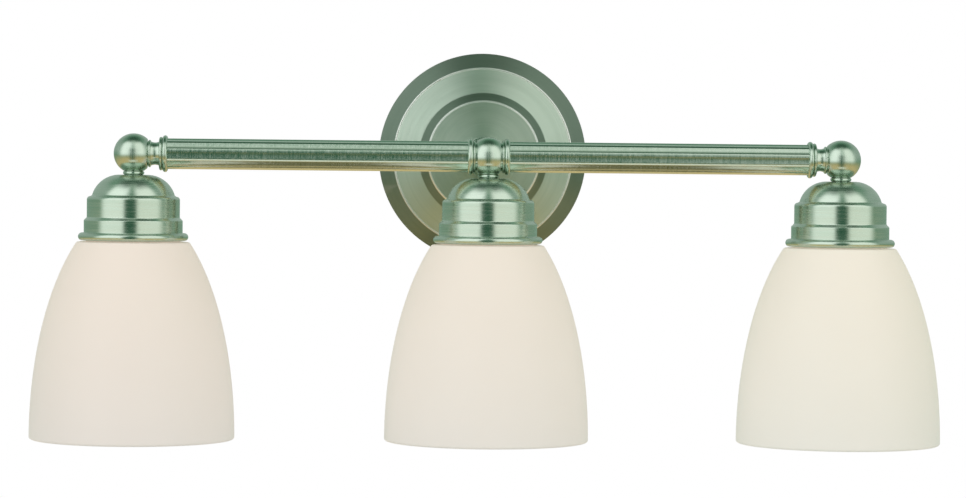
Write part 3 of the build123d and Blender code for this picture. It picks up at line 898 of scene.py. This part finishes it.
    def tubes(self) -> None:
        """Draw and dress the two fluted tubes."""
        smooth = replace(NICKEL, roughness=0.2, anisotropy=0.6, line_depth=0.0)
        finish = smooth.material("nickel_tubes", self.middle(Side.CENTRE), RIGHT)
        for side in ENDS:
            node = f"bar_tube_{side.label}"
            low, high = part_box(node)
            centre = self.middle(Side.CENTRE)
            maker = bmesh.new()
            steps = self.flutes * 22
            made = bmesh.ops.create_circle(maker, cap_ends=True, radius=self.tube, segments=steps)
            for vert in made["verts"]:
                angle = math.atan2(vert.co.y, vert.co.x)
                around = self.tube - self.flute_dip(angle)
                out = Vector((0.0, -math.cos(angle), -math.sin(angle)))
                vert.co = Vector((low[0], centre.y, centre.z)) + out * around
            grown = bmesh.ops.extrude_face_region(maker, geom=maker.faces[:])
            moved = [v for v in grown["geom"] if isinstance(v, bmesh.types.BMVert)]
            bmesh.ops.translate(maker, verts=moved, vec=RIGHT * (high[0] - low[0]))
            bmesh.ops.recalc_face_normals(maker, faces=maker.faces)
            for rim in ring_corners(maker, 60):
                rim.smooth = False
            piece = as_object(maker, f"fluted_tube_{side.label}")
            weigh_normals(piece)
            dress(piece, "fixture", "brushed_nickel", finish, node)

    def build(self) -> None:
        """Make everything on the bar's axis."""
        self.centre_knuckle()
        for side in ENDS:
            self.end_knuckle(side)
        self.collars()
        self.tubes()


@dataclass
class Light:
    """The turned pieces of one hanging light: seat collar, fitter cup and glass shade."""

    side: Side
    cup: float = 30.5 * MM
    step: float = 1.8 * MM
    rim: float = 34.0 * MM
    dome_flat: float = 8.7 * MM
    dome: float = 17.45 * MM
    dome_sweep: float = 74.6
    shoulder: float = 2.1 * MM
    shoulder_drop: float = 2.7 * MM
    step_top: float = 26.5 * MM
    ledge: float = 28.5 * MM
    rim_top: float = 36.0 * MM
    cup_height: float = 40.8 * MM
    sheet: float = 1.0 * MM
    bore: float = 5.0 * MM
    seat_radius: float = 6.6 * MM
    mouth_radius: float = 63.5 * MM
    bell_height: float = 146.0 * MM
    glass: float = 3.0 * MM
    neck: float = 28.9 * MM
    plate_hole: float = 20.95 * MM
    shoulder_gap: float = 0.8 * MM

    @property
    def word(self) -> str:
        """The light's own word in names."""
        return self.side.label

    @property
    def centre(self) -> Vector:
        """The point of the light's axis at the bar's height."""
        spot = middle_of(f"fitter_cup_{self.word}")
        return Vector((spot.x, spot.y, 0.0))

    def lathe(self, steps: int = 160) -> Lathe:
        """A lathe on the light's axis."""
        return Lathe(self.centre, UP, steps)

    def build(self) -> None:
        """Make the light's seat collar, fitter cup and glass shade."""
        self.metal = NICKEL.material(f"nickel_fitter_{self.word}", self.centre, UP)
        self.seat_collar()
        self.fitter_cup()
        self.shade()

    def seat_collar(self) -> None:
        """Turn and dress the bead ring between the ball and the cup."""
        low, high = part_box("seat_collars")
        half = (high[2] - low[2]) / 2
        bead = arc((self.seat_radius - half, low[2] + half), half, -90, 90, 14)
        profile = [(self.bore, low[2]), *bead, (self.bore, high[2])]
        ring = self.lathe(96).turn(f"seat_bead_{self.word}", profile, ring=True)
        dress(ring, "fixture", "brushed_nickel", self.metal)
        if self.side is Side.LEFT:
            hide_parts("seat_collars")

    def fitter_cup(self) -> None:
        """Turn and dress the spun cup."""
        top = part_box(f"fitter_cup_{self.word}")[1][2]
        bottom = top - self.cup_height

        def skin(inset: float) -> list[Point]:
            """Dome and shoulder, outside or one sheet inside."""
            dome = arc((self.dome_flat, top - self.dome), self.dome - inset, 90, 90 - self.dome_sweep, 30)
            edge = top - self.dome + self.dome * math.cos(math.radians(self.dome_sweep))
            spot = (self.cup - self.step - self.shoulder, edge - self.shoulder_drop)
            return dome + arc(spot, self.shoulder - inset, 90, 0, 10)

        half = (self.cup_height - self.rim_top) / 2
        roll = arc((self.rim - half, bottom + half), half, 90, -90, 18)
        outside = [
            (self.bore, top),
            *skin(0.0),
            (self.cup - self.step, top - self.step_top),
            (self.cup, top - self.step_top - self.step),
            (self.cup, top - self.rim_top),
            *roll,
        ]
        inside = [
            (self.cup - self.sheet, bottom),
            (self.cup - self.sheet, top - self.ledge),
            (self.cup - self.step - self.sheet, top - self.ledge),
            *reversed(skin(self.sheet)),
            (self.bore, top - self.sheet),
        ]
        profile = outside + inside
        piece = self.lathe().turn(f"cup_{self.word}", profile, ring=True, corner=30, edge=0.3 * MM)
        dress(piece, "fixture", "brushed_nickel", self.metal, f"fitter_cup_{self.word}")

    def bell(self, inset: float, mouth: float, top: float, count: int = 60) -> list[Point]:
        """Neck and bell of the glass, outside or one wall inside, from the plate to the mouth.

        Args:
            inset: 0 outside, or the wall's thickness.
            mouth: height of the mouth.
            top: height of the plate.
            count: steps down the bell.

        Returns:
            The points of that side.
        """
        cup_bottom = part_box(f"fitter_cup_{self.word}")[0][2]
        shoulder = cup_bottom - self.shoulder_gap - inset
        tall = self.bell_height - inset
        start = math.asin((shoulder - mouth) / tall)
        wide = self.mouth_radius - inset
        turns = [start * (1 - step / count) for step in range(count + 1)]
        curve = [(wide * math.cos(turn), mouth + tall * math.sin(turn)) for turn in turns]
        return [(self.neck - inset, top - inset), (self.neck - inset, shoulder), *curve]

    def shade(self) -> None:
        """Turn and dress the opal bell."""
        node = f"shade_glass_{self.word}"
        low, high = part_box(node)
        outside = self.bell(0.0, low[2], high[2])
        inside = self.bell(self.glass, low[2], high[2])
        lip = self.glass / 2
        roll = arc((self.mouth_radius - lip, low[2] + lip), lip, 0, -180, 12)
        outside = [p for p in outside if p[1] > low[2] + lip]
        inside = [p for p in inside if p[1] > low[2] + lip]
        profile = [
            (self.plate_hole, high[2]),
            *outside,
            *roll,
            *reversed(inside),
            (self.plate_hole, high[2] - self.glass),
        ]
        piece = self.lathe(192).turn(f"opal_{self.word}", profile, ring=True, corner=30, edge=0.8 * MM)
        # this light's opal colour carries painted light from its bulb
        glass = OpalGlass(body=SHADE_COLOURS_WITH_BULB_LIGHT[self.side])
        finish = glass.material(f"opal_glass_{self.word}", low[2], high[2])
        dress(piece, "fixture", "opal_glass", finish, node)


# ---------------------------------------------------------------- carried-over CAD pieces


def dress_frame() -> None:
    """Give every CAD node that stays in view the finish of its slot."""
    slots = {entry["node"]: entry["material_slot"] for entry in frame["record"]["subparts"]}
    made: dict[str, bpy.types.Material] = {}
    for node, piece in frame["nodes"].items():
        slot = slots[node]
        finish = FINISHES.get(slot)
        if finish is None:
            continue
        if slot not in made:
            made[slot] = finish.material(slot)
        piece.data.materials.clear()
        piece.data.materials.append(made[slot])
        LOG.info("%s keeps its CAD shape in %s", node, slot)


# ---------------------------------------------------------------- studio


@dataclass(frozen=True)
class Panel:
    """A soft-edged bright or dark patch of the studio, seen from the bar."""

    way: float
    half_width: float
    rise: float
    half_height: float
    light: Colour
    soft: float = 9.0


PANELS = (
    Panel(180, 95, 24, 22, (0.42, 0.50, 0.45), 12),
    Panel(0, 180, 85, 20, (0.045, 0.10, 0.065), 9),
    Panel(0, 30, 70, 12, (0.42, 0.52, 0.43), 6),
    Panel(-46, 34, 27, 36, (1.36, 1.36, 1.35), 11),
    Panel(42, 33, 27, 36, (1.25, 1.24, 1.19), 12),
    Panel(-4, 15, -5, 34, (0.04, 0.12, 0.075), 5),
    Panel(0, 180, -82, 24, (0.19, 0.165, 0.085), 10),
    Panel(0, 26, -44, 5, (1.00, 1.02, 0.95), 3),
)


@dataclass
class Studio:
    """Floor, backdrop and camera."""

    floor_height: float = -0.62
    floor_radius: float = 1.25
    room: Colour = (0.17, 0.31, 0.22)
    below: Colour = (0.78, 0.58, 0.30)
    camera_spot: Vector = field(default_factory=lambda: Vector((-0.076, -2.184, -0.005)))
    camera_target: Vector = field(default_factory=lambda: Vector((-0.003, -0.1143, -0.0573)))
    roll: float = 0.57
    lens: float = 124.1

    def floor(self) -> None:
        """A round pale floor that is see-through from below and left out of reflections."""
        maker = bmesh.new()
        bmesh.ops.create_circle(maker, cap_ends=True, radius=self.floor_radius, segments=96)
        bmesh.ops.translate(maker, verts=maker.verts, vec=UP * self.floor_height)
        piece = as_object(maker, "studio_floor")
        graph = Graph.of_material("pale_floor")
        pale = graph.add("BsdfDiffuse", Color=(0.88, 0.85, 0.80, 1.0))
        clear = graph.add("BsdfTransparent")
        either = graph.add("MixShader")
        behind = graph.add("NewGeometry").outputs["Backfacing"]
        mirrored = graph.add("LightPath").outputs["Is Glossy Ray"]
        graph.join(graph.number("MAXIMUM", behind, mirrored), either.inputs[0])
        graph.join(pale.outputs[0], either.inputs[1])
        graph.join(clear.outputs[0], either.inputs[2])
        graph.join(either.outputs[0], graph.add("OutputMaterial").inputs["Surface"])
        piece.data.materials.append(graph.owner)

    def backdrop(self) -> None:
        """White to the camera; to the fixture, a dim room with soft panels."""
        graph = Graph(bpy.data.worlds.new("studio"))
        parts = graph.add("SeparateXYZ")
        graph.join(graph.add("TexCoord").outputs["Generated"], parts.inputs[0])
        forward = graph.number("MULTIPLY", parts.outputs["Y"], -1.0)
        way = graph.number("ARCTAN2", parts.outputs["X"], forward)
        rise = graph.number("ARCSINE", parts.outputs["Z"])
        light = graph.blend(graph.span(rise, 1.0, 0.0, -0.5, -0.05), self.room, self.below)
        for panel in PANELS:
            across = self.within(graph, way, panel.way, panel.half_width, panel.soft)
            upright = self.within(graph, rise, panel.rise, panel.half_height, panel.soft)
            light = graph.blend(graph.number("MULTIPLY", across, upright), light, panel.light)
        lit = graph.add("Background")
        graph.join(light, lit.inputs["Color"])
        white = graph.add("Background", Color=(1, 1, 1, 1))
        either = graph.add("MixShader")
        graph.join(graph.add("LightPath").outputs["Is Camera Ray"], either.inputs[0])
        graph.join(lit.outputs[0], either.inputs[1])
        graph.join(white.outputs[0], either.inputs[2])
        graph.join(either.outputs[0], graph.add("OutputWorld").inputs["Surface"])
        bpy.context.scene.world = graph.owner

    @staticmethod
    def within(
        graph: Graph, angle: bpy.types.NodeSocket, middle: float, half: float, soft: float
    ) -> bpy.types.NodeSocket:
        """How far an angle lies inside a range.

        Args:
            graph: the tree to add to.
            angle: the angle in radians.
            middle: the range's middle in degrees.
            half: half the range in degrees.
            soft: how far its edge fades either way, in degrees.

        Returns:
            1 inside, 0 outside, with a smooth edge.
        """
        off = graph.number("PINGPONG", graph.number("SUBTRACT", angle, math.radians(middle)), math.pi)
        inner, outer = (math.radians(half - soft), math.radians(half + soft))
        share = graph.span(off, 1.0, 0.0, inner, outer)
        share.node.interpolation_type = "SMOOTHSTEP"
        return share

    def camera(self) -> None:
        """Stand the camera a little left of the middle, level with the shades."""
        data = bpy.data.cameras.new("camera")
        data.lens = self.lens
        data.sensor_width = 36.0
        data.clip_end = 50.0
        camera = bpy.data.objects.new("camera", data)
        camera.location = self.camera_spot
        camera.rotation_mode = "QUATERNION"
        aim = (self.camera_target - self.camera_spot).to_track_quat("-Z", "Y")
        camera.rotation_quaternion = aim @ Quaternion((0, 0, 1), math.radians(self.roll))
        bpy.context.scene.collection.objects.link(camera)
        bpy.context.scene.camera = camera

    def build(self) -> None:
        """Set up the whole studio."""
        self.floor()
        self.backdrop()
        self.camera()
        bpy.context.scene.view_settings.view_transform = "Standard"


def main() -> None:
    """Build the fixture from the wall outwards, then the studio."""
    logging.basicConfig(level=logging.INFO, format="%(name)s: %(message)s")
    dress_frame()
    Canopy().build()
    Arm().build()
    Bar().build()
    for side in Side:
        Light(side).build()
    Studio().build()


if __name__ == "__main__":
    main()
